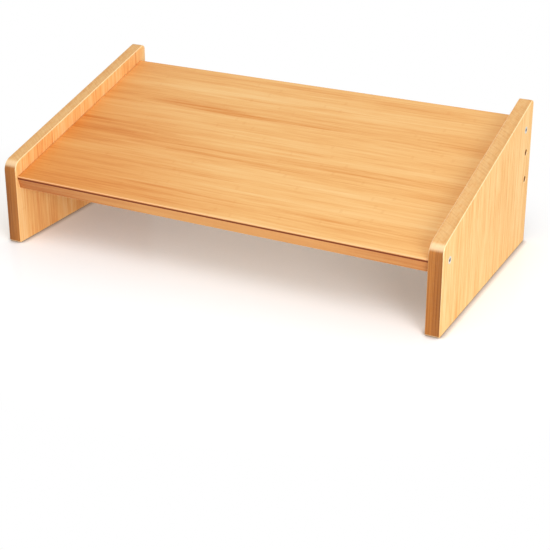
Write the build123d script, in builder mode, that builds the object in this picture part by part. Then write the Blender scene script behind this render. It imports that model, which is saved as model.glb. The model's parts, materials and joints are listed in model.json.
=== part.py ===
from build123d import *
import os
from math import cos, radians, sin, tan

# A monitor riser. Two upright side panels stand on the surface and carry a sloping shelf between
# them. The shelf turns on two front screws, and two rear screws fix it at one of three tilts.
# Millimetres. +Z is up, +Y is the tall rear side and +X is the right side. The origin is on the
# surface that the riser stands on, in the middle of its width and depth.

# Overall sizes
overall_width = 500.0
panel_depth = 260.0
front_height = 91.4

# Tilt of the shelf from level in each of the three holes; the shelf is drawn in the highest
high_tilt = 15.4
middle_tilt = 8.6
low_tilt = 0.8

# Laminated bamboo board: a thick core between two thin face plies, in the panels and the shelf
face_ply = 2.5
core_ply = 10.0

# Corners and edges of the side panels
front_corner_radius = 13.0
rear_corner_radius = 5.0
foot_corner_radius = 2.0
panel_arris = 1.2

# Shelf: its top lies square below the panels' slanted edges by the rim height
rim_height = 15.2
front_setback = 2.5
rear_setback = 10.5
end_clearance = 0.3
shelf_arris = 1.0

# Screw places on the shelf, measured along its slope
pivot_inset = 14.3
rear_screw_inset = 13.5

# M4 countersunk screws with a hexagon socket
screw_length = 30.0
screw_radius = 2.0
head_radius = 3.75
head_land = 0.2
head_recess = 0.05
socket_width = 2.5
socket_depth = 1.5
thread_length = 20.0
thread_pitch = 0.7
thread_root_radius = 1.57
tip_chamfer = 0.5

# Threaded brass inserts in the ends of the shelf's core
insert_radius = 3.95
insert_root_radius = 3.4
insert_length = 12.0
insert_pitch = 2.0
insert_recess = 0.5
insert_plain_end = 1.0
insert_slot_width = 1.2
insert_slot_depth = 1.5

# Fits
running_clearance = 0.05
insert_fit = 0.05
rear_hole_clearance = 0.25
pilot_clearance = 0.25
tip_room = 2.5

# Worked out from the sizes above
board = 2 * face_ply + core_ply
slope = radians(high_tilt)
rear_height = front_height + panel_depth * tan(slope)
panel_front = -panel_depth / 2
panel_rear = panel_depth / 2
outer_face = overall_width / 2
inner_face = outer_face - board
shelf_width = 2 * (inner_face - end_clearance)
shelf_length = (panel_depth - front_setback - rear_setback) / cos(slope)
rear_screw_reach = shelf_length - pivot_inset - rear_screw_inset

# The shelf's upper front corner, and the pivot in the middle of the shelf's thickness
corner_y = panel_front + front_setback
corner_z = front_height + front_setback * tan(slope) - rim_height / cos(slope)
pivot_y = corner_y + pivot_inset * cos(slope) + board / 2 * sin(slope)
pivot_z = corner_z + pivot_inset * sin(slope) - board / 2 * cos(slope)


def rear_hole(tilt):
    """Centre of the rear hole that holds the shelf at a tilt, on an arc about the pivot."""
    angle = radians(tilt)
    return (pivot_y + rear_screw_reach * cos(angle), pivot_z + rear_screw_reach * sin(angle))


pivot = (pivot_y, pivot_z)
rear_holes = [rear_hole(tilt) for tilt in (high_tilt, middle_tilt, low_tilt)]

pivot_hole_radius = screw_radius + running_clearance
rear_hole_radius = screw_radius + rear_hole_clearance
countersink_radius = head_radius + head_land + head_recess + running_clearance
pilot_radius = screw_radius + pilot_clearance
insert_bore_radius = insert_radius + insert_fit
screw_depth_in_shelf = screw_length + head_recess - board - end_clearance

os.makedirs("parts", exist_ok=True)


def write(piece, name):
    """Label a finished piece and write it as its own node."""
    piece.part.label = name
    export_step(piece.part, f"parts/{name}.step")


def outward_plane(side, distance, place):
    """Plane square to X at a distance from the middle, facing outwards on its side."""
    return Plane(origin=(side * distance, *place), x_dir=(0, 1, 0), z_dir=(side, 0, 0))


def half_section_plane(side, distance, place):
    """Plane of a turned piece's half section: radius along +Y, height outwards along X."""
    return Plane(origin=(side * distance, *place), x_dir=(0, 1, 0), z_dir=(0, 0, -side))


def make_panel_ply(name, side, inner, outer, rounded=None):
    """One ply of a side panel, between two distances from the middle of the riser.

    The ply that is rounded "outer" or "inner" has the panel's outline eased on that face.
    """
    with BuildPart() as ply:
        with BuildSketch(Plane.YZ.offset(side * inner)):
            with BuildLine():
                Polyline(
                    (panel_front, 0),
                    (panel_rear, 0),
                    (panel_rear, rear_height),
                    (panel_front, front_height),
                    close=True,
                )
            make_face()
            fillet(vertices().sort_by(Axis.Y)[-1], rear_corner_radius)
            fillet(vertices().group_by(Axis.X)[0].sort_by(Axis.Y)[-1], front_corner_radius)
            fillet(vertices().group_by(Axis.Y)[0], foot_corner_radius)
        extrude(amount=side * (outer - inner))
        if rounded:
            faces_outwards = ply.faces().sort_by(Axis.X, reverse=side < 0)
            eased = faces_outwards[-1] if rounded == "outer" else faces_outwards[0]
            fillet(eased.outer_wire().edges(), panel_arris)
        holes = [(pivot, pivot_hole_radius)] + [(place, rear_hole_radius) for place in rear_holes]
        for place, radius in holes:
            with Locations(outward_plane(side, outer, place)):
                if rounded == "outer":
                    CounterSinkHole(radius, countersink_radius, board, counter_sink_angle=90)
                else:
                    Hole(radius, board)
    write(ply, name)


def shelf_plane(height):
    """Plane along the shelf's slope, a height above its middle, with its origin at the pivot."""
    middle = Plane(origin=(0, *pivot), x_dir=(1, 0, 0), z_dir=(0, -sin(slope), cos(slope)))
    return middle.offset(height)


def make_shelf_ply(name, bottom, top, rounded=None, bored=False):
    """One ply of the shelf, between two heights measured square to its middle.

    The ply that is rounded "top" or "bottom" has the shelf's outline eased on that face. The
    bored ply has a stepped bore in each end at the pivot and at the rear screws.
    """
    with BuildPart() as ply:
        with BuildSketch(shelf_plane(bottom)):
            with Locations((0, shelf_length / 2 - pivot_inset)):
                Rectangle(shelf_width, shelf_length)
        extrude(amount=top - bottom)
        if rounded:
            flat_faces = ply.faces().sort_by(Axis((0, *pivot), shelf_plane(0).z_dir))
            eased = flat_faces[-1] if rounded == "top" else flat_faces[0]
            fillet(eased.edges(), shelf_arris)
        if bored:
            for side in (-1, 1):
                for place in (pivot, rear_holes[0]):
                    with Locations(outward_plane(side, shelf_width / 2, place)):
                        CounterBoreHole(
                            pilot_radius,
                            insert_bore_radius,
                            insert_recess + insert_length,
                            screw_depth_in_shelf + tip_room,
                        )
    write(ply, name)


def ridges(first, last, pitch, crest, root):
    """Outline points (radius, height) of the V rings on a shaft, from one depth to another."""
    count = int((last - first) / pitch)
    points = [(crest, -first)]
    for ring in range(count):
        depth = first + ring * pitch
        points += [(root, -(depth + pitch / 2)), (crest, -(depth + pitch))]
    return points


def make_screw(name, side, place):
    """A countersunk screw, driven in from the outer face of a side panel."""
    distance = outer_face - head_recess
    outline = [
        (0, 0),
        (head_radius, 0),
        (head_radius, -head_land),
        (screw_radius, -(head_land + head_radius - screw_radius)),
        *ridges(
            screw_length - thread_length,
            screw_length - tip_chamfer,
            thread_pitch,
            screw_radius,
            thread_root_radius,
        ),
        (thread_root_radius, -screw_length),
        (0, -screw_length),
    ]
    with BuildPart() as screw:
        with BuildSketch(half_section_plane(side, distance, place)):
            with BuildLine():
                Polyline(*outline, close=True)
            make_face()
        revolve(axis=Axis((side * distance, *place), (side, 0, 0)))
        with BuildSketch(outward_plane(side, distance, place)):
            RegularPolygon(socket_width / 2, 6, major_radius=False)
        extrude(amount=-socket_depth, mode=Mode.SUBTRACT)
    write(screw, name)


def make_insert(name, side, place):
    """A threaded insert, turned into the end of the shelf's core, with a slot to drive it."""
    distance = shelf_width / 2 - insert_recess
    outline = [
        (pivot_hole_radius, 0),
        (insert_radius, 0),
        *ridges(
            insert_plain_end,
            insert_length - insert_plain_end,
            insert_pitch,
            insert_radius,
            insert_root_radius,
        ),
        (insert_radius, -insert_length),
        (pivot_hole_radius, -insert_length),
    ]
    with BuildPart() as insert:
        with BuildSketch(half_section_plane(side, distance, place)):
            with BuildLine():
                Polyline(*outline, close=True)
            make_face()
        revolve(axis=Axis((side * distance, *place), (side, 0, 0)))
        with BuildSketch(outward_plane(side, distance, place)):
            Rectangle(3 * insert_radius, insert_slot_width)
        extrude(amount=-insert_slot_depth, mode=Mode.SUBTRACT)
    write(insert, name)


make_shelf_ply("shelf_bottom_ply", -board / 2, -core_ply / 2, "bottom")
make_shelf_ply("shelf_core", -core_ply / 2, core_ply / 2, bored=True)
make_shelf_ply("shelf_top_ply", core_ply / 2, board / 2, "top")

for side, hand in ((-1, "left"), (1, "right")):
    make_panel_ply(f"{hand}_panel_inner_ply", side, inner_face, inner_face + face_ply, "inner")
    make_panel_ply(f"{hand}_panel_core", side, inner_face + face_ply, outer_face - face_ply)
    make_panel_ply(f"{hand}_panel_outer_ply", side, outer_face - face_ply, outer_face, "outer")
    make_screw(f"front_pivot_screw_{hand}", side, pivot)
    make_screw(f"rear_fixing_screw_{hand}", side, rear_holes[0])
    make_insert(f"front_insert_{hand}", side, pivot)
    make_insert(f"rear_insert_{hand}", side, rear_holes[0])
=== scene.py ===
"""Looks of a tilting monitor riser: lacquered bamboo boards, plated screws and a pale studio."""

from __future__ import annotations

import json
import logging
import math
from dataclasses import dataclass
from enum import Enum
from typing import Any, Sequence, Union

import bpy
from mathutils import Euler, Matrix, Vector

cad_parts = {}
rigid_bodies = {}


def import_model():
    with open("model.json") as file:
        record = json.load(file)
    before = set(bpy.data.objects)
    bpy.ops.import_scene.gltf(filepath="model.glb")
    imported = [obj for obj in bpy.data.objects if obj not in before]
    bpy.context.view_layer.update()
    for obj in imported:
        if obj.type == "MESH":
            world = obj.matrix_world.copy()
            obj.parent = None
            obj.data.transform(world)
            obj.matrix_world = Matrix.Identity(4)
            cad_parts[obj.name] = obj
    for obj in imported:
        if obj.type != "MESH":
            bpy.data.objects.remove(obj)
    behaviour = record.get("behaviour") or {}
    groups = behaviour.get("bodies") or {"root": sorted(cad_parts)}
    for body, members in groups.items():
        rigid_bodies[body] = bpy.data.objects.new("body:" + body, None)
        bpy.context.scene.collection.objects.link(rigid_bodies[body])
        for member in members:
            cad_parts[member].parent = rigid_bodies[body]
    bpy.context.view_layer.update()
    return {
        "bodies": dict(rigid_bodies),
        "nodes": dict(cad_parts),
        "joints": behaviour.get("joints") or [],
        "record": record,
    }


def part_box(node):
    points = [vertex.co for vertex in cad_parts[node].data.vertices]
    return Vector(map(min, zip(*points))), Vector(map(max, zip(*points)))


LOG = logging.getLogger("monitor_riser")

Colour = tuple[float, float, float]
Operand = Union["Wire", float, int]

MM = 0.001
WHITE = (1.0, 1.0, 1.0)


def tone(red: int, green: int, blue: int) -> Colour:
    """Turn a display colour of 0 to 255 into the linear values that a shader takes.

    Args:
        red: Red, 0 to 255.
        green: Green, 0 to 255.
        blue: Blue, 0 to 255.

    Returns:
        The same colour as linear red, green and blue.
    """

    def linear(value: int) -> float:
        """Undo the display curve of one channel."""
        share = value / 255
        return share / 12.92 if share <= 0.04045 else ((share + 0.055) / 1.055) ** 2.4

    return linear(red), linear(green), linear(blue)


class Wire:
    """An output socket that can be used in arithmetic: each operation adds a Math node."""

    def __init__(self, net: "Net", socket: bpy.types.NodeSocket | None) -> None:
        """Wrap a socket of a net, or none for a node that ends a tree."""
        self.net = net
        self.socket = socket

    def _math(self, operation: str, *operands: Operand) -> "Wire":
        """Add one Math node on these operands."""
        return self.net.node("Math", {"operation": operation}, dict(enumerate(operands)))

    def __add__(self, other: Operand) -> "Wire":
        """Sum."""
        return self._math("ADD", self, other)

    def __radd__(self, other: Operand) -> "Wire":
        """Sum with a number on the left."""
        return self._math("ADD", other, self)

    def __sub__(self, other: Operand) -> "Wire":
        """Difference."""
        return self._math("SUBTRACT", self, other)

    def __rsub__(self, other: Operand) -> "Wire":
        """Difference from a number on the left."""
        return self._math("SUBTRACT", other, self)

    def __mul__(self, other: Operand) -> "Wire":
        """Product."""
        return self._math("MULTIPLY", self, other)

    def __rmul__(self, other: Operand) -> "Wire":
        """Product with a number on the left."""
        return self._math("MULTIPLY", other, self)

    def __truediv__(self, other: Operand) -> "Wire":
        """Quotient."""
        return self._math("DIVIDE", self, other)

    def __rtruediv__(self, other: Operand) -> "Wire":
        """Quotient with a number on the left."""
        return self._math("DIVIDE", other, self)

    def __pow__(self, other: Operand) -> "Wire":
        """Power."""
        return self._math("POWER", self, other)

    def __rpow__(self, other: Operand) -> "Wire":
        """Power of a number on the left."""
        return self._math("POWER", other, self)

    def __abs__(self) -> "Wire":
        """Size without the sign."""
        return self._math("ABSOLUTE", self)

    def floor(self) -> "Wire":
        """Whole part."""
        return self._math("FLOOR", self)

    def fraction(self) -> "Wire":
        """Part after the point."""
        return self._math("FRACT", self)

    def larger(self, other: Operand) -> "Wire":
        """The larger of two values."""
        return self._math("MAXIMUM", self, other)

    def smaller(self, other: Operand) -> "Wire":
        """The smaller of two values."""
        return self._math("MINIMUM", self, other)

    def rise(self, start: float, end: float) -> "Wire":
        """Climb smoothly from 0 to 1 between two values.

        Args:
            start: Value where the result is 0.
            end: Value where the result is 1; it may be the lower one, for a fall.

        Returns:
            The smooth step.
        """
        settings = {"interpolation_type": "SMOOTHSTEP"}
        if start <= end:
            return self.net.node("MapRange", settings, {0: self, 1: start, 2: end})
        return 1 - self.net.node("MapRange", settings, {0: self, 1: end, 2: start})


class Net:
    """The node tree of one material or world."""

    OPEN_RAYS = 16

    def __init__(self, owner: Union[bpy.types.Material, bpy.types.World]) -> None:
        """Start an empty tree on its owner."""
        owner.use_nodes = True
        self.tree = owner.node_tree
        self.tree.nodes.clear()

    def node(
        self,
        kind: str,
        settings: dict[str, Any] | None = None,
        inputs: dict[Union[int, str], Any] | None = None,
        output: Union[int, str] = 0,
    ) -> Wire:
        """Add a node: its settings first, then the values or links of its sockets.

        Args:
            kind: Node type, without its "ShaderNode" prefix.
            settings: Node attributes; "stops" fills a ramp with (place, colour) pairs.
            inputs: Socket index or name to a value or a wire.
            output: Index or name of the socket to hand back.

        Returns:
            The chosen output.
        """
        made = self.tree.nodes.new("ShaderNode" + kind)
        for name, value in (settings or {}).items():
            if name == "stops":
                self._fill_ramp(made.color_ramp, value)
            else:
                setattr(made, name, value)
        for key, value in (inputs or {}).items():
            if isinstance(value, Wire):
                self.tree.links.new(value.socket, made.inputs[key])
            else:
                made.inputs[key].default_value = value
        return Wire(self, made.outputs[output] if made.outputs else None)

    @staticmethod
    def _fill_ramp(ramp: bpy.types.ColorRamp, stops: Sequence[tuple[float, Colour]]) -> None:
        """Give a colour ramp its stops."""
        while len(ramp.elements) < len(stops):
            ramp.elements.new(0.5)
        for element, (place, colour) in zip(ramp.elements, stops):
            element.position = place
            element.color = (*colour, 1)

    def blend(self, share: Operand, low: Any, high: Any, mode: str = "MIX") -> Wire:
        """Mix two colours.

        Args:
            share: How much of the second colour to take.
            low: First colour, as a wire or linear values.
            high: Second colour.
            mode: Blend mode, such as MIX or MULTIPLY.

        Returns:
            The mixed colour.
        """
        low, high = (
            value if isinstance(value, Wire) else (*value, 1) for value in (low, high)
        )
        settings = {"data_type": "RGBA", "blend_type": mode}
        return self.node("Mix", settings, {0: share, 6: low, 7: high}, output=2)

    def split(self, vector: Wire) -> tuple[Wire, Wire, Wire]:
        """Take a vector apart into its three numbers."""
        parts = self.node("SeparateXYZ", None, {0: vector}).socket.node
        return tuple(Wire(self, socket) for socket in parts.outputs)

    def join(self, *parts: Operand) -> Wire:
        """Make a vector of three numbers."""
        return self.node("CombineXYZ", None, dict(enumerate(parts)))

    def place(self) -> Wire:
        """Where a point of the piece is, in metres."""
        return self.node("TexCoord", output="Object")

    def facing(self) -> Wire:
        """Which way the surface faces."""
        return self.node("TexCoord", output="Normal")

    def glow(self, colour: Colour) -> Wire:
        """A shader that shows a colour as it is written."""
        return self.node("Emission", None, {"Color": (*colour, 1), "Strength": 1.0})

    def cover(self, share: Operand, under: Wire, over: Wire) -> Wire:
        """Lay one shader over another.

        Args:
            share: How much of the upper one shows.
            under: The lower shader.
            over: The upper shader.

        Returns:
            The mixed shader.
        """
        return self.node("MixShader", None, {0: share, 1: under, 2: over})

    def openness(self, distance: float) -> Wire:
        """How open the space round a point is, from 0 to 1, within a distance in metres."""
        settings = {"samples": self.OPEN_RAYS}
        return self.node("AmbientOcclusion", settings, {"Distance": distance}, "AO")

    def noise(self, place: Wire, detail: float = 2.0, rough: float = 0.5) -> Wire:
        """Cloudy noise about 0.5, one wave for each unit of the place."""
        inputs = {"Vector": place, "Scale": 1.0, "Detail": detail, "Roughness": rough}
        return self.node("TexNoise", None, inputs)

    def chance(self, *parts: Operand) -> Wire:
        """A fixed random value from 0 to 1 for each whole-numbered place."""
        return self.node("TexWhiteNoise", None, {"Vector": self.join(*parts)})


class Grain(Enum):
    """Which way a ply's strips run."""

    ACROSS_SHELF = "from one side panel to the other, along the shelf"
    DOWN_SHELF = "from the shelf's rear edge to its front edge"
    UPRIGHT = "up the side panel"
    LEVEL = "from front to rear along the side panel"


@dataclass(frozen=True)
class BoardFrame:
    """The places on the riser that the boards' finishes are measured from, in metres.

    Args:
        pivot: Point on the line that the shelf turns about.
        slope: Tilt of the shelf from level, in radians.
        ply: Thickness of a face ply.
        board: Thickness of a board.
        half_width: Distance of a panel's outer face from the middle.
        holes: Depth and height of the holes in the side panels.
    """

    pivot: Vector
    slope: float
    ply: float
    board: float
    half_width: float
    holes: tuple[tuple[float, float], ...]

    # Shares of the tilt's range at which the shelf stands in each rear hole.
    HOLE_SHARES = (0.0, 0.466, 1.0)

    @classmethod
    def of(cls, frame: dict[str, Any]) -> "BoardFrame":
        """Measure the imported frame.

        Args:
            frame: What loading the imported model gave.

        Returns:
            The riser's measured places.
        """
        hinge = next(joint for joint in frame["joints"] if joint["name"] == "shelf_tilt")
        pivot = Vector(hinge["pos_m"])
        low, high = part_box("rear_fixing_screw_right")
        top_hole = (low + high) / 2 - pivot
        slope = math.atan2(top_hole.z, top_hole.y)
        reach = math.hypot(top_hole.y, top_hole.z)
        drop = math.radians(-hinge["range_deg"][0])
        holes = [(pivot.y, pivot.z)]
        for share in cls.HOLE_SHARES:
            angle = slope - share * drop
            holes.append((pivot.y + reach * math.cos(angle), pivot.z + reach * math.sin(angle)))
        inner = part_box("right_panel_inner_ply")
        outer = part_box("right_panel_outer_ply")
        return cls(
            pivot=pivot,
            slope=slope,
            ply=outer[1].x - outer[0].x,
            board=outer[1].x - inner[0].x,
            half_width=outer[1].x,
            holes=tuple(holes),
        )


@dataclass(frozen=True)
class Pattern:
    """Noise that is stretched along the strips of a ply.

    Args:
        along: Waves for each metre along the strips.
        across: Waves for each metre across them.
        detail: How many finer layers it has.
        rough: How strong the finer layers are.
    """

    along: float
    across: float
    detail: float = 2.0
    rough: float = 0.5


@dataclass(frozen=True)
class Stain:
    """A colour that comes in where a value goes from one number to another.

    Args:
        colour: The colour, in linear values.
        start: Value where it begins.
        end: Value where it is full.
        share: How much of the colour there is where it is full.
    """

    colour: Colour
    start: float
    end: float
    share: float = 1.0

    def over(self, net: Net, value: Wire, under: Union[Wire, Colour]) -> Wire:
        """Lay the colour over another.

        Args:
            net: The material's tree.
            value: The value that says where the colour comes in.
            under: The colour below it.

        Returns:
            The colour with the stain.
        """
        return net.blend(value.rise(self.start, self.end) * self.share, under, self.colour)


class Board(Enum):
    """Which board a ply belongs to, because each has its own edges."""

    SHELF = "shelf"
    PANEL = "side panel"


@dataclass(frozen=True)
class Bamboo:
    """Lacquered bamboo ply of narrow glued strips.

    Args:
        name: Name of the material.
        board: The board that the ply belongs to.
        grain: Which way the strips run.
        dark: Colour of the darkest fibres.
        middle: Colour of most of the wood.
        light: Colour of the palest wood.
        seed: Offset that gives each ply its own strips.
        figure: Contrast of the fibres.
        band_share: How far the shelf's front and rear edges take their own colour.
        glue_line: Whether the dark glue under the shelf's top ply shows on this ply.
    """

    name: str
    board: Board
    grain: Grain
    dark: Colour
    middle: Colour
    light: Colour
    seed: float = 0.0
    figure: float = 0.75
    band_share: float = 0.9
    glue_line: bool = False

    # Noise of the wood, and how far each kind moves it from dark to light.
    CLOUD = Pattern(2.0, 24.0)
    CLOUD_SHARE = 0.6
    STREAK = Pattern(3.4, 150.0, detail=3.0)
    STREAK_SHARE = 0.24
    FIBRE = Pattern(12.0, 420.0, detail=4.0, rough=0.75)
    HEART = Pattern(3.0, 60.0)
    HEART_SPAN = (0.6, 0.8)
    HEART_SHARE = 0.2
    TONE_PLACES = (0.12, 0.5, 0.88)
    SEED_STEPS = (3.1, 1.7)

    # Strips, each a little lighter or darker than its neighbours, with a seam on each side.
    STRIP_WIDTH = 5.6 * MM
    STRIP_SHARE = 0.1
    SEAM_SPAN = (0.44, 0.5)
    SEAM_SHADE = 0.08

    # Knuckles, where the cane's joints cross a strip.
    KNUCKLE_PITCH = 230 * MM
    KNUCKLE_SHIFT = 5.1
    KNUCKLE_WANDER = 3 * MM
    KNUCKLE_REACH = 2.4 * MM
    KNUCKLE_CORE = 0.4 * MM
    KNUCKLE_SHADE = 0.12

    # Relief and gloss of the lacquer.
    FIBRE_RELIEF = 0.8
    STRIP_RELIEF = 0.2
    SEAM_RELIEF = 0.7
    KNUCKLE_RELIEF = 0.2
    RELIEF_STRENGTH = 0.2
    RELIEF_DEPTH = 0.1 * MM
    ROUGHNESS = 0.5
    FIBRE_ROUGHNESS = 0.2
    SEAM_ROUGHNESS = 0.08
    SPECULAR = 0.22

    # Painted shade, deeper and more orange, on the shelf's front left by the left panel: the way
    # out of that corner along and across the strips, how much the clouds bend its border, and
    # where it ends and is full, in metres.
    LEFT_CORNER_SHADE = (0.87, 0.64, 0.42)
    LEFT_CORNER_SHADE_WAY = (0.8, 0.6)
    LEFT_CORNER_SHADE_WANDER = 0.15
    LEFT_CORNER_SHADE_SPAN = (0.06, -0.17)

    # Upright edges of the side panels, by the share of the board's thickness, outwards.
    EDGE_INNER = tone(174, 102, 38)
    EDGE_OUTER = Stain(tone(144, 74, 18), 0.3, 0.62)
    EDGE_RIM = Stain(tone(108, 56, 16), 0.72, 0.9, 0.6)
    EDGE_WAVES = (900.0, 30.0, 14.0)
    EDGE_PALE_FIBRE = Stain(tone(190, 122, 56), 0.25, 0.6, 0.4)
    EDGE_DARK_FIBRE = Stain(tone(108, 56, 16), 0.6, 0.35, 0.3)
    EDGE_FACING = (0.6, 0.94)
    EDGE_SHARE = 0.95

    # Rounded front corner with a painted highlight, sloping edge, and the foot and arrises of
    # the side panels, paler with wear and a painted highlight. A facing is how far the surface
    # turns that way, where a colour starts and where it is full.
    CROWN_HIGHLIGHT = tone(242, 208, 164)
    CROWN_UP = (0.3, 0.6)
    CROWN_FORWARDS = (-0.3, -0.6)
    CROWN_HIGHLIGHT_SHARE = 0.75
    SLOPE = tone(222, 172, 112)
    SLOPE_WAVES = (420.0, 300.0, 50.0)
    SLOPE_FIBRE = Stain(tone(174, 102, 38), 0.4, 0.7, 0.35)
    SLOPE_BORDER = Stain(tone(190, 122, 56), 0.5, 0.85, 0.3)
    SLOPE_FACING = (0.75, 0.95)
    SLOPE_SHARE = 0.7
    ARRIS_WEAR_AND_HIGHLIGHT = tone(255, 226, 178)
    ARRIS_TURNED, ARRIS_FLAT = (0.2, 0.5), (0.97, 0.8)
    ARRIS_UP = (-0.1, 0.3)
    ARRIS_WEAR_AND_HIGHLIGHT_SHARE = 0.75
    FOOT = Stain(ARRIS_WEAR_AND_HIGHLIGHT, -0.2, -0.5, 0.6)

    # Holes of the side panels: the radii where the painted shade on the countersink starts and
    # is full.
    HOLE_SHADE = tone(106, 58, 18)
    HOLE_SPAN = (3.9 * MM, 3.1 * MM)
    HOLE_TURNED = (0.98, 0.9)

    # Front and rear edges of the shelf, by the place along them in metres; their dark left end
    # is painted shade where the shelf meets the left panel.
    BAND_LEFT_SHADE = tone(172, 80, 24)
    BAND_MIDDLE = Stain(tone(216, 150, 88), -0.24, -0.04)
    BAND_RIGHT = Stain(tone(188, 110, 54), 0.1, 0.24)
    BAND_WAVES = (9.0, 300.0)
    BAND_FIBRE_SPAN = (0.3, 0.7)
    BAND_FIBRE_SHARE = 0.35
    BAND_FACING = (0.55, 0.85)

    # Glue under the shelf's top ply, by the distance from its seam, and the painted highlights
    # on the shelf's upper and lower front arrises.
    GLUE = Stain(tone(118, 38, 4), 1.3 * MM, 0.8 * MM, 0.95)
    FRONT_TURNED, FRONT_FLAT = (0.2, 0.45), (0.98, 0.85)
    UPPER_ARRIS_HIGHLIGHT = tone(255, 200, 150)
    UPPER_HIGHLIGHT_UP = (0.1, 0.4)
    UPPER_HIGHLIGHT_SHARE = 0.85
    LOWER_ARRIS_HIGHLIGHT = tone(250, 214, 150)
    LOWER_HIGHLIGHT_UP = (-0.3, -0.6)
    LOWER_HIGHLIGHT_SHARE = 0.7

    def place_along_grain(self, net: Net, where: BoardFrame) -> Wire:
        """Turn the object coordinates so that X follows the strips and Z goes through the board.

        Args:
            net: The material's tree.
            where: The riser's measured places.

        Returns:
            The turned coordinates, in metres.
        """
        shelf = self.board is Board.SHELF
        turn = Euler((-where.slope, 0, 0)) if shelf else Euler((0, math.pi / 2, 0))
        shift = -(turn.to_matrix() @ where.pivot) if shelf else Vector()
        inputs = {"Vector": net.place(), "Location": shift, "Rotation": turn}
        turned = net.node("Mapping", {"vector_type": "POINT"}, inputs)
        if self.grain in (Grain.ACROSS_SHELF, Grain.UPRIGHT):
            return turned
        along, across, through = net.split(turned)
        return net.join(across, along, through)

    def drawn_out(self, net: Net, place: Wire, pattern: Pattern) -> Wire:
        """Make noise that is stretched along the strips.

        Args:
            net: The material's tree.
            place: Coordinates along the grain.
            pattern: The kind of noise.

        Returns:
            The noise, about 0.5, moved by the ply's own offset.
        """
        along, across, through = net.split(place)
        along_step, across_step = self.SEED_STEPS
        stretched = net.join(
            along * pattern.along + self.seed * along_step,
            across * pattern.across + self.seed * across_step,
            through * pattern.across,
        )
        return net.noise(stretched, pattern.detail, pattern.rough)

    def wood(self, net: Net, place: Wire) -> tuple[Wire, Wire, Wire]:
        """Colour the wood: broad clouds, tapered streaks, fibres, strips and knuckles, with
        painted shade on the shelf's front left.

        Args:
            net: The material's tree.
            place: Coordinates along the grain.

        Returns:
            The colour, the height for the bump, and the roughness.
        """
        along, across, _ = net.split(place)
        strips = across / self.STRIP_WIDTH + self.seed
        own = net.chance(strips.floor(), self.seed, 1.0)
        seam = abs(strips.fraction() - 0.5).rise(*self.SEAM_SPAN)

        cloud = self.drawn_out(net, place, self.CLOUD) - 0.5
        streak = self.drawn_out(net, place, self.STREAK) - 0.5
        fibre = self.drawn_out(net, place, self.FIBRE) - 0.5
        heart = self.drawn_out(net, place, self.HEART).rise(*self.HEART_SPAN)

        level = 0.5 + (own - 0.5) * self.STRIP_SHARE + cloud * self.CLOUD_SHARE
        level = level + streak * self.STREAK_SHARE - heart * self.HEART_SHARE
        level = level + fibre * self.figure
        stops = tuple(zip(self.TONE_PLACES, (self.dark, self.middle, self.light)))
        colour = net.node("ValToRGB", {"stops": stops}, {0: level})
        # Painted shade, deeper and more orange, on the shelf's front left by the left panel.
        if self.board is Board.SHELF and self.grain is Grain.ACROSS_SHELF:
            way_along, way_across = self.LEFT_CORNER_SHADE_WAY
            corner = along * way_along + across * way_across + cloud * self.LEFT_CORNER_SHADE_WANDER
            left_corner_shade = corner.rise(*self.LEFT_CORNER_SHADE_SPAN)
            colour = net.blend(left_corner_shade, colour, self.LEFT_CORNER_SHADE, "MULTIPLY")

        beat = (along / self.KNUCKLE_PITCH + own * self.KNUCKLE_SHIFT).fraction()
        off = abs(beat - 0.5) * self.KNUCKLE_PITCH + streak * self.KNUCKLE_WANDER
        knuckle = off.rise(self.KNUCKLE_REACH, self.KNUCKLE_CORE)
        shade = knuckle * self.KNUCKLE_SHADE + seam * self.SEAM_SHADE
        colour = net.blend(shade, colour, self.dark)

        height = fibre * self.FIBRE_RELIEF + own * self.STRIP_RELIEF
        height = height - seam * self.SEAM_RELIEF - knuckle * self.KNUCKLE_RELIEF
        rough = self.ROUGHNESS + fibre * self.FIBRE_ROUGHNESS + seam * self.SEAM_ROUGHNESS
        return colour, height, rough

    def panel_edges(self, net: Net, where: BoardFrame, colour: Wire) -> Wire:
        """Colour a side panel's dark upright edges, its sloping edge and a painted highlight on
        its rounded front corner; its arrises and foot are paler with wear and a painted
        highlight.

        Args:
            net: The material's tree.
            where: The riser's measured places.
            colour: Colour of the wood so far.

        Returns:
            The colour with the edges.
        """
        sideways, lengthways, upward = net.split(net.facing())
        side, depth, height = net.split(net.place())
        outwards = (abs(side) - (where.half_width - where.board)) / where.board
        waves = zip((side, depth, height), self.EDGE_WAVES)
        fine = net.noise(net.join(*(spot * wave for spot, wave in waves)))

        brown = self.EDGE_OUTER.over(net, outwards, self.EDGE_INNER)
        brown = self.EDGE_RIM.over(net, outwards, brown)
        brown = self.EDGE_PALE_FIBRE.over(net, fine, brown)
        brown = self.EDGE_DARK_FIBRE.over(net, fine, brown)
        upright = abs(lengthways).rise(*self.EDGE_FACING)
        colour = net.blend(upright * self.EDGE_SHARE, colour, brown)
        # Painted highlight on the rounded front corner.
        crown_highlight = upward.rise(*self.CROWN_UP) * lengthways.rise(*self.CROWN_FORWARDS)
        colour = net.blend(crown_highlight * self.CROWN_HIGHLIGHT_SHARE, colour, self.CROWN_HIGHLIGHT)

        by_depth, by_side, across = self.SLOPE_WAVES
        slanting = net.noise(net.join(depth * by_depth + side * by_side, side * across, 0.0))
        tan = self.SLOPE_FIBRE.over(net, slanting, self.SLOPE)
        tan = self.SLOPE_BORDER.over(net, outwards, tan)
        sloping = upward.rise(*self.SLOPE_FACING)
        colour = net.blend(sloping * self.SLOPE_SHARE, colour, tan)
        # The foot, paler with wear and a painted highlight.
        colour = self.FOOT.over(net, upward, colour)

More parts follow.
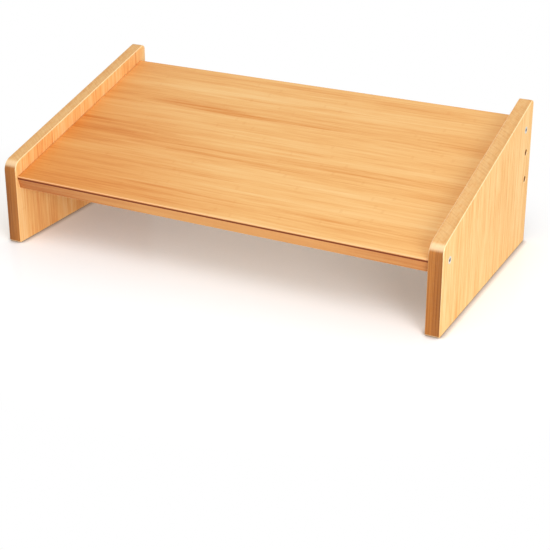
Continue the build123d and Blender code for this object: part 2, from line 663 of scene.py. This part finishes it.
        # Arrises, paler with wear and a painted highlight.
        turned = abs(sideways)
        arris = turned.rise(*self.ARRIS_TURNED) * turned.rise(*self.ARRIS_FLAT)
        arris = arris * upward.rise(*self.ARRIS_UP)
        return net.blend(arris * self.ARRIS_WEAR_AND_HIGHLIGHT_SHARE, colour, self.ARRIS_WEAR_AND_HIGHLIGHT)

    def panel_holes(self, net: Net, where: BoardFrame, colour: Wire) -> Wire:
        """Darken the countersinks and walls of a side panel's holes with painted shade.

        Args:
            net: The material's tree.
            where: The riser's measured places.
            colour: Colour of the wood so far.

        Returns:
            The colour with the holes.
        """
        sideways, _, _ = net.split(net.facing())
        _, depth, height = net.split(net.place())
        aways = [
            ((depth - hole_depth) ** 2.0 + (height - hole_height) ** 2.0) ** 0.5
            for hole_depth, hole_height in where.holes
        ]
        nearest = aways[0]
        for away in aways[1:]:
            nearest = nearest.smaller(away)
        # Painted shade on the countersinks and walls of the holes.
        inside = nearest.rise(*self.HOLE_SPAN) * abs(sideways).rise(*self.HOLE_TURNED)
        return net.blend(inside, colour, self.HOLE_SHADE)

    def shelf_edges(self, net: Net, where: BoardFrame, place: Wire, colour: Wire) -> Wire:
        """Colour the band along the shelf's front and rear edges, with its glue line, painted
        shade at its left end and painted highlights on its front arrises.

        Args:
            net: The material's tree.
            where: The riser's measured places.
            place: Coordinates along the grain.
            colour: Colour of the wood so far.

        Returns:
            The colour with the edges.
        """
        _, lengthways, upward = net.split(net.facing())
        forwards = lengthways * -math.cos(where.slope) - upward * math.sin(where.slope)
        side, depth, height = net.split(net.place())
        by_side, fine = self.BAND_WAVES
        long = net.noise(net.join(side * by_side, height * fine, depth * fine + self.seed))
        # Painted shade darkens the band towards its left end, by the left panel.
        band = self.BAND_MIDDLE.over(net, side, self.BAND_LEFT_SHADE)
        band = self.BAND_RIGHT.over(net, side, band)
        fibre = long.rise(*self.BAND_FIBRE_SPAN)
        band = net.blend(fibre * self.BAND_FIBRE_SHARE, band, self.middle)
        edge = abs(lengthways).rise(*self.BAND_FACING)
        colour = net.blend(edge * self.band_share, colour, band)
        if self.glue_line:
            _, _, through = net.split(place)
            colour = self.GLUE.over(net, abs(through - (where.board / 2 - where.ply)), colour)
        # Painted highlights on the upper and lower front arrises.
        turned = forwards.rise(*self.FRONT_TURNED) * forwards.rise(*self.FRONT_FLAT)
        upper = turned * upward.rise(*self.UPPER_HIGHLIGHT_UP)
        colour = net.blend(upper * self.UPPER_HIGHLIGHT_SHARE, colour, self.UPPER_ARRIS_HIGHLIGHT)
        lower = turned * upward.rise(*self.LOWER_HIGHLIGHT_UP)
        return net.blend(lower * self.LOWER_HIGHLIGHT_SHARE, colour, self.LOWER_ARRIS_HIGHLIGHT)

    def material(self, where: BoardFrame) -> bpy.types.Material:
        """Build the finish.

        Args:
            where: The riser's measured places.

        Returns:
            The material.
        """
        made = bpy.data.materials.new(self.name)
        net = Net(made)
        place = self.place_along_grain(net, where)
        colour, height, rough = self.wood(net, place)
        if self.board is Board.PANEL:
            colour = self.panel_edges(net, where, colour)
            colour = self.panel_holes(net, where, colour)
        else:
            colour = self.shelf_edges(net, where, place, colour)
        relief = {
            "Strength": self.RELIEF_STRENGTH,
            "Distance": self.RELIEF_DEPTH,
            "Height": height,
        }
        surface = {
            "Base Color": colour,
            "Roughness": rough,
            "Normal": net.node("Bump", None, relief),
            "Specular IOR Level": self.SPECULAR,
        }
        shader = net.node("BsdfPrincipled", None, surface)
        net.node("OutputMaterial", None, {"Surface": shader})
        return made


@dataclass(frozen=True)
class TurnedMetal:
    """Plated or plain metal, with fine turning marks round the screws' axes.

    Args:
        name: Name of the material.
        colour: Colour of the metal.
        roughness: Roughness of its surface.
        socket_shade_radius: Radius of the painted shade in and round a head's key socket, or 0
            for none.
    """

    name: str
    colour: Colour
    roughness: float
    socket_shade_radius: float = 0.0

    # Turning marks and spots, in waves for each metre, and how far they move the shade.
    RING_WAVES = (9000.0, 4000.0)
    RING_SHARE = 0.12
    SPOT_WAVES = 700.0
    SPOT_SHARE = 0.1
    DARKEST = 0.86
    SPOT_ROUGHNESS = 0.2
    MARK_STRENGTH = 0.25
    MARK_DEPTH = 0.03 * MM

    # Painted shade in and round the key socket: the depths below the panel's face where it ends
    # and is full, its soft edge as a share of its radius, and the shade.
    SOCKET_DEPTHS = (2.2 * MM, 1.8 * MM)
    SOCKET_EDGE = 0.85
    SOCKET_SHARE = 0.95
    SOCKET_PAINTED_SHADE = tone(46, 36, 28)

    def material(self, centre: tuple[float, float], outer_face: float) -> bpy.types.Material:
        """Build the finish about one screw's axis.

        Args:
            centre: Depth and height of the axis.
            outer_face: Distance of the side panels' outer faces from the middle.

        Returns:
            The material.
        """
        made = bpy.data.materials.new(self.name)
        net = Net(made)
        side, depth, height = net.split(net.place())
        away = ((depth - centre[0]) ** 2.0 + (height - centre[1]) ** 2.0) ** 0.5
        outwards, lengthways = self.RING_WAVES
        rings = net.noise(net.join(away * outwards, side * lengthways, 0.0))
        spots = net.noise(
            net.join(*(spot * self.SPOT_WAVES for spot in (side, depth, height))), detail=3.0
        )
        shade = self.DARKEST + rings * self.RING_SHARE + spots * self.SPOT_SHARE
        colour = net.blend(1.0, self.colour, net.join(shade, shade, shade), "MULTIPLY")
        # Painted shade in and round the head's key socket.
        if self.socket_shade_radius:
            head = (outer_face - abs(side)).rise(*self.SOCKET_DEPTHS)
            socket = away.rise(self.socket_shade_radius, self.SOCKET_EDGE * self.socket_shade_radius)
            colour = net.blend(head * socket * self.SOCKET_SHARE, colour, self.SOCKET_PAINTED_SHADE)
        marks = {"Strength": self.MARK_STRENGTH, "Distance": self.MARK_DEPTH, "Height": rings}
        surface = {
            "Base Color": colour,
            "Metallic": 1.0,
            "Roughness": self.roughness + (spots - 0.5) * self.SPOT_ROUGHNESS,
            "Normal": net.node("Bump", None, marks),
        }
        shader = net.node("BsdfPrincipled", None, surface)
        net.node("OutputMaterial", None, {"Surface": shader})
        return made


def dress(node: bpy.types.Object, material: bpy.types.Material) -> None:
    """Give a piece one finish all over."""
    node.data.materials.clear()
    node.data.materials.append(material)


@dataclass(frozen=True)
class Lamp:
    """A round soft lamp that shines on the riser.

    Args:
        name: Name of the lamp.
        spot: Where it hangs, in metres.
        size: Diameter, in metres.
        power: Power, in watts.
    """

    name: str
    spot: tuple[float, float, float]
    size: float
    power: float

    # The middle of the riser, which every lamp points at.
    AIM = Vector((0, 0, 0.08))

    def hang(self) -> None:
        """Add the lamp to the scene."""
        turn = (self.AIM - Vector(self.spot)).to_track_quat("-Z", "Y").to_euler()
        bpy.ops.object.light_add(type="AREA", location=self.spot, rotation=turn)
        lamp = bpy.context.object
        lamp.name = self.name
        lamp.data.shape = "DISK"
        lamp.data.size = self.size
        lamp.data.energy = self.power


@dataclass
class Studio:
    """Floor, backdrop, lights and camera.

    Args:
        orbit: Azimuth and elevation of the camera about the riser, in degrees.
        distance: Distance of the camera from the riser, in metres.
        heading: Where the camera looks: degrees left of the rear and below level.
        lens: Focal length, in millimetres on a 36 mm sensor.
        raise_view: Vertical shift of the lens, which sets the riser high in the frame.
        orbit_height: Height of the point that the camera orbits, in metres.
        floor_size: Side of the floor, in metres.
        floor_drop: How far the floor lies under the riser's feet, in metres.
        white_from: Half width and half depth of the floor that keeps its shadow, in metres.
    """

    orbit: tuple[float, float] = (27.819, 20.815)
    distance: float = 1.3952
    heading: tuple[float, float] = (27.419, 21.226)
    lens: float = 84.764
    raise_view: float = -0.155
    orbit_height: float = 0.070
    floor_size: float = 12.0
    floor_drop: float = 0.2 * MM
    white_from: tuple[float, float] = (0.31, 0.26)

    # Width of the sensor in millimetres, and strength of the light from all round.
    SENSOR = 36.0
    ROOM_LIGHT = 0.62

    # Floor: what lights the riser, and what shows, with its faint gloss.
    FLOOR_MATT = (0.88, 0.88, 0.88)
    FLOOR_SHADE = (1.0, 0.93, 0.92)
    FLOOR_LIFT = (0.08, 0.15, 0.16)
    GLOSS_SHARE = 0.04
    GLOSS_ROUGHNESS = 0.16
    FADE_SPAN = (0.95, 1.6)

    # Shade close to the feet, and shade under the shelf.
    CONTACT = tone(112, 80, 54)
    CONTACT_DISTANCE = 10 * MM
    CONTACT_SPAN = (0.95, 0.35)
    CONTACT_SHARE = 0.75
    COVERED = tone(140, 128, 118)
    COVER_DISTANCE = 170 * MM
    COVER_SPAN = (0.5, 0.0)
    COVER_SHARE = 0.34

    LAMPS = (
        Lamp("overhead", (0.45, -0.85, 1.85), 1.7, 14.0),
        Lamp("front_right", (1.5, -1.3, 0.6), 0.9, 18.0),
    )

    def build(self) -> None:
        """Set up everything round the riser."""
        self.make_camera()
        self.make_floor()
        self.make_world()
        for lamp in self.LAMPS:
            lamp.hang()
        bpy.context.scene.view_settings.view_transform = "Standard"

    def make_camera(self) -> None:
        """Stand the camera at the product's usual view."""
        azimuth, elevation = (math.radians(angle) for angle in self.orbit)
        yaw, pitch = (math.radians(angle) for angle in self.heading)
        back = Vector(
            (
                math.sin(azimuth) * math.cos(elevation),
                -math.cos(azimuth) * math.cos(elevation),
                math.sin(elevation),
            )
        )
        bpy.ops.object.camera_add(
            location=Vector((0, 0, self.orbit_height)) + back * self.distance,
            rotation=(math.pi / 2 - pitch, 0, yaw),
        )
        camera = bpy.context.object
        camera.data.lens = self.lens
        camera.data.sensor_width = self.SENSOR
        camera.data.shift_y = self.raise_view
        bpy.context.scene.camera = camera

    def floor_shown(self, net: Net) -> Wire:
        """Make what the camera sees of the floor: its shadow, which fades into white.

        Args:
            net: The floor's tree.

        Returns:
            The shader.
        """
        shown = net.node("BsdfDiffuse", None, {"Color": (*self.FLOOR_SHADE, 1)})
        gloss = {"Color": (*WHITE, 1), "Roughness": self.GLOSS_ROUGHNESS}
        polished = net.cover(self.GLOSS_SHARE, shown, net.node("BsdfGlossy", None, gloss))
        lifted = net.node("AddShader", None, {0: polished, 1: net.glow(self.FLOOR_LIFT)})
        side, depth, _ = net.split(net.place())
        half_width, half_depth = self.white_from
        reach = ((side / half_width) ** 2.0 + (depth / half_depth) ** 2.0) ** 0.5
        faded = net.cover(reach.rise(*self.FADE_SPAN), lifted, net.glow(WHITE))
        touching = net.openness(self.CONTACT_DISTANCE).rise(*self.CONTACT_SPAN)
        covered = net.openness(self.COVER_DISTANCE).rise(*self.COVER_SPAN)
        shaded = net.cover(covered * self.COVER_SHARE, faded, net.glow(self.COVERED))
        return net.cover(touching * self.CONTACT_SHARE, shaded, net.glow(self.CONTACT))

    def make_floor(self) -> None:
        """Lay a pale floor that keeps the riser's shadow and fades into the backdrop."""
        bpy.ops.mesh.primitive_plane_add(
            size=self.floor_size, location=(0, 0, -self.floor_drop)
        )
        floor = bpy.context.object
        floor.name = "floor"
        made = bpy.data.materials.new("studio_floor")
        net = Net(made)
        matt = net.node("BsdfDiffuse", None, {"Color": (*self.FLOOR_MATT, 1)})
        seen = net.node("LightPath", output="Is Camera Ray")
        surface = net.cover(seen, matt, self.floor_shown(net))
        net.node("OutputMaterial", None, {"Surface": surface})
        dress(floor, made)

    def make_world(self) -> None:
        """Light the room softly from all round, and show it white."""
        world = bpy.data.worlds.new("studio")
        bpy.context.scene.world = world
        net = Net(world)
        rays = net.node("LightPath").socket.node
        camera, glossy, glass = (
            Wire(net, rays.outputs[name])
            for name in ("Is Camera Ray", "Is Glossy Ray", "Is Transmission Ray")
        )
        shown = camera.larger(glossy).larger(glass)
        strength = self.ROOM_LIGHT + shown * (1 - self.ROOM_LIGHT)
        sky = net.node("Background", None, {"Color": (*WHITE, 1), "Strength": strength})
        net.node("OutputWorld", None, {"Surface": sky})


@dataclass
class Riser:
    """The boards and screws of the riser, each dressed in its own finish.

    Args:
        where: The riser's measured places.
        nodes: The CAD pieces by name.
    """

    where: BoardFrame
    nodes: dict[str, bpy.types.Object]

    # Dark, middle and light colours of the shelf, the side panels and their inner faces.
    SHELF = (tone(210, 126, 44), tone(236, 181, 112), tone(246, 208, 148))
    PANEL = (tone(232, 160, 76), tone(246, 198, 128), tone(252, 216, 156))
    INNER = (tone(226, 138, 70), tone(248, 192, 120), tone(255, 216, 160))

    TOP_BAND_SHARE = 0.35
    BAND_SHARE = 0.9
    INNER_FIGURE = 1.4
    PANEL_FIGURE = 2.2

    # Seeds of the side panels' plies: the first, and the steps between hands and layers.
    PANEL_SEED = 31.0
    HAND_STEP = 7
    LAYER_STEP = 13

    STEEL = TurnedMetal("zinc_plated_steel", tone(238, 238, 236), 0.28, 1.9 * MM)
    BRASS = TurnedMetal("turned_brass", tone(214, 178, 104), 0.34)

    def dress_piece(self, name: str, material: bpy.types.Material) -> None:
        """Dress a piece and report it."""
        dress(self.nodes[name], material)
        LOG.info("dressed %s", name)

    def dress_shelf(self) -> None:
        """Dress the three plies of the shelf."""
        plies = (
            ("shelf_top_ply", Grain.ACROSS_SHELF, 0.0),
            ("shelf_core", Grain.DOWN_SHELF, 11.0),
            ("shelf_bottom_ply", Grain.ACROSS_SHELF, 23.0),
        )
        for name, grain, seed in plies:
            finish = Bamboo(
                f"bamboo_{name}",
                Board.SHELF,
                grain,
                *self.SHELF,
                seed,
                band_share=self.TOP_BAND_SHARE if name == "shelf_top_ply" else self.BAND_SHARE,
                glue_line=name != "shelf_bottom_ply",
            )
            self.dress_piece(name, finish.material(self.where))

    def dress_panels(self) -> None:
        """Dress the three plies of each side panel."""
        for number, hand in enumerate(("left", "right")):
            for layer, part in enumerate(("inner_ply", "core", "outer_ply")):
                name = f"{hand}_panel_{part}"
                grain = Grain.LEVEL if part == "core" else Grain.UPRIGHT
                inner = part == "inner_ply"
                tones = self.INNER if inner else self.PANEL
                figure = self.INNER_FIGURE if inner else self.PANEL_FIGURE
                seed = self.PANEL_SEED + self.HAND_STEP * number + self.LAYER_STEP * layer
                finish = Bamboo(f"bamboo_{name}", Board.PANEL, grain, *tones, seed, figure)
                self.dress_piece(name, finish.material(self.where))

    def dress_metal(self) -> None:
        """Dress the screws and the inserts."""
        front, rear = self.where.holes[:2]
        for hand in ("left", "right"):
            for name, finish, centre in (
                (f"front_pivot_screw_{hand}", self.STEEL, front),
                (f"rear_fixing_screw_{hand}", self.STEEL, rear),
                (f"front_insert_{hand}", self.BRASS, front),
                (f"rear_insert_{hand}", self.BRASS, rear),
            ):
                self.dress_piece(name, finish.material(centre, self.where.half_width))


def main() -> None:
    """Load the frame, dress the riser and build the studio round it."""
    logging.basicConfig(level=logging.INFO, format="%(name)s: %(message)s")
    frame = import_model()
    Studio().build()
    riser = Riser(BoardFrame.of(frame), frame["nodes"])
    riser.dress_shelf()
    riser.dress_panels()
    riser.dress_metal()


if __name__ == "__main__":
    main()
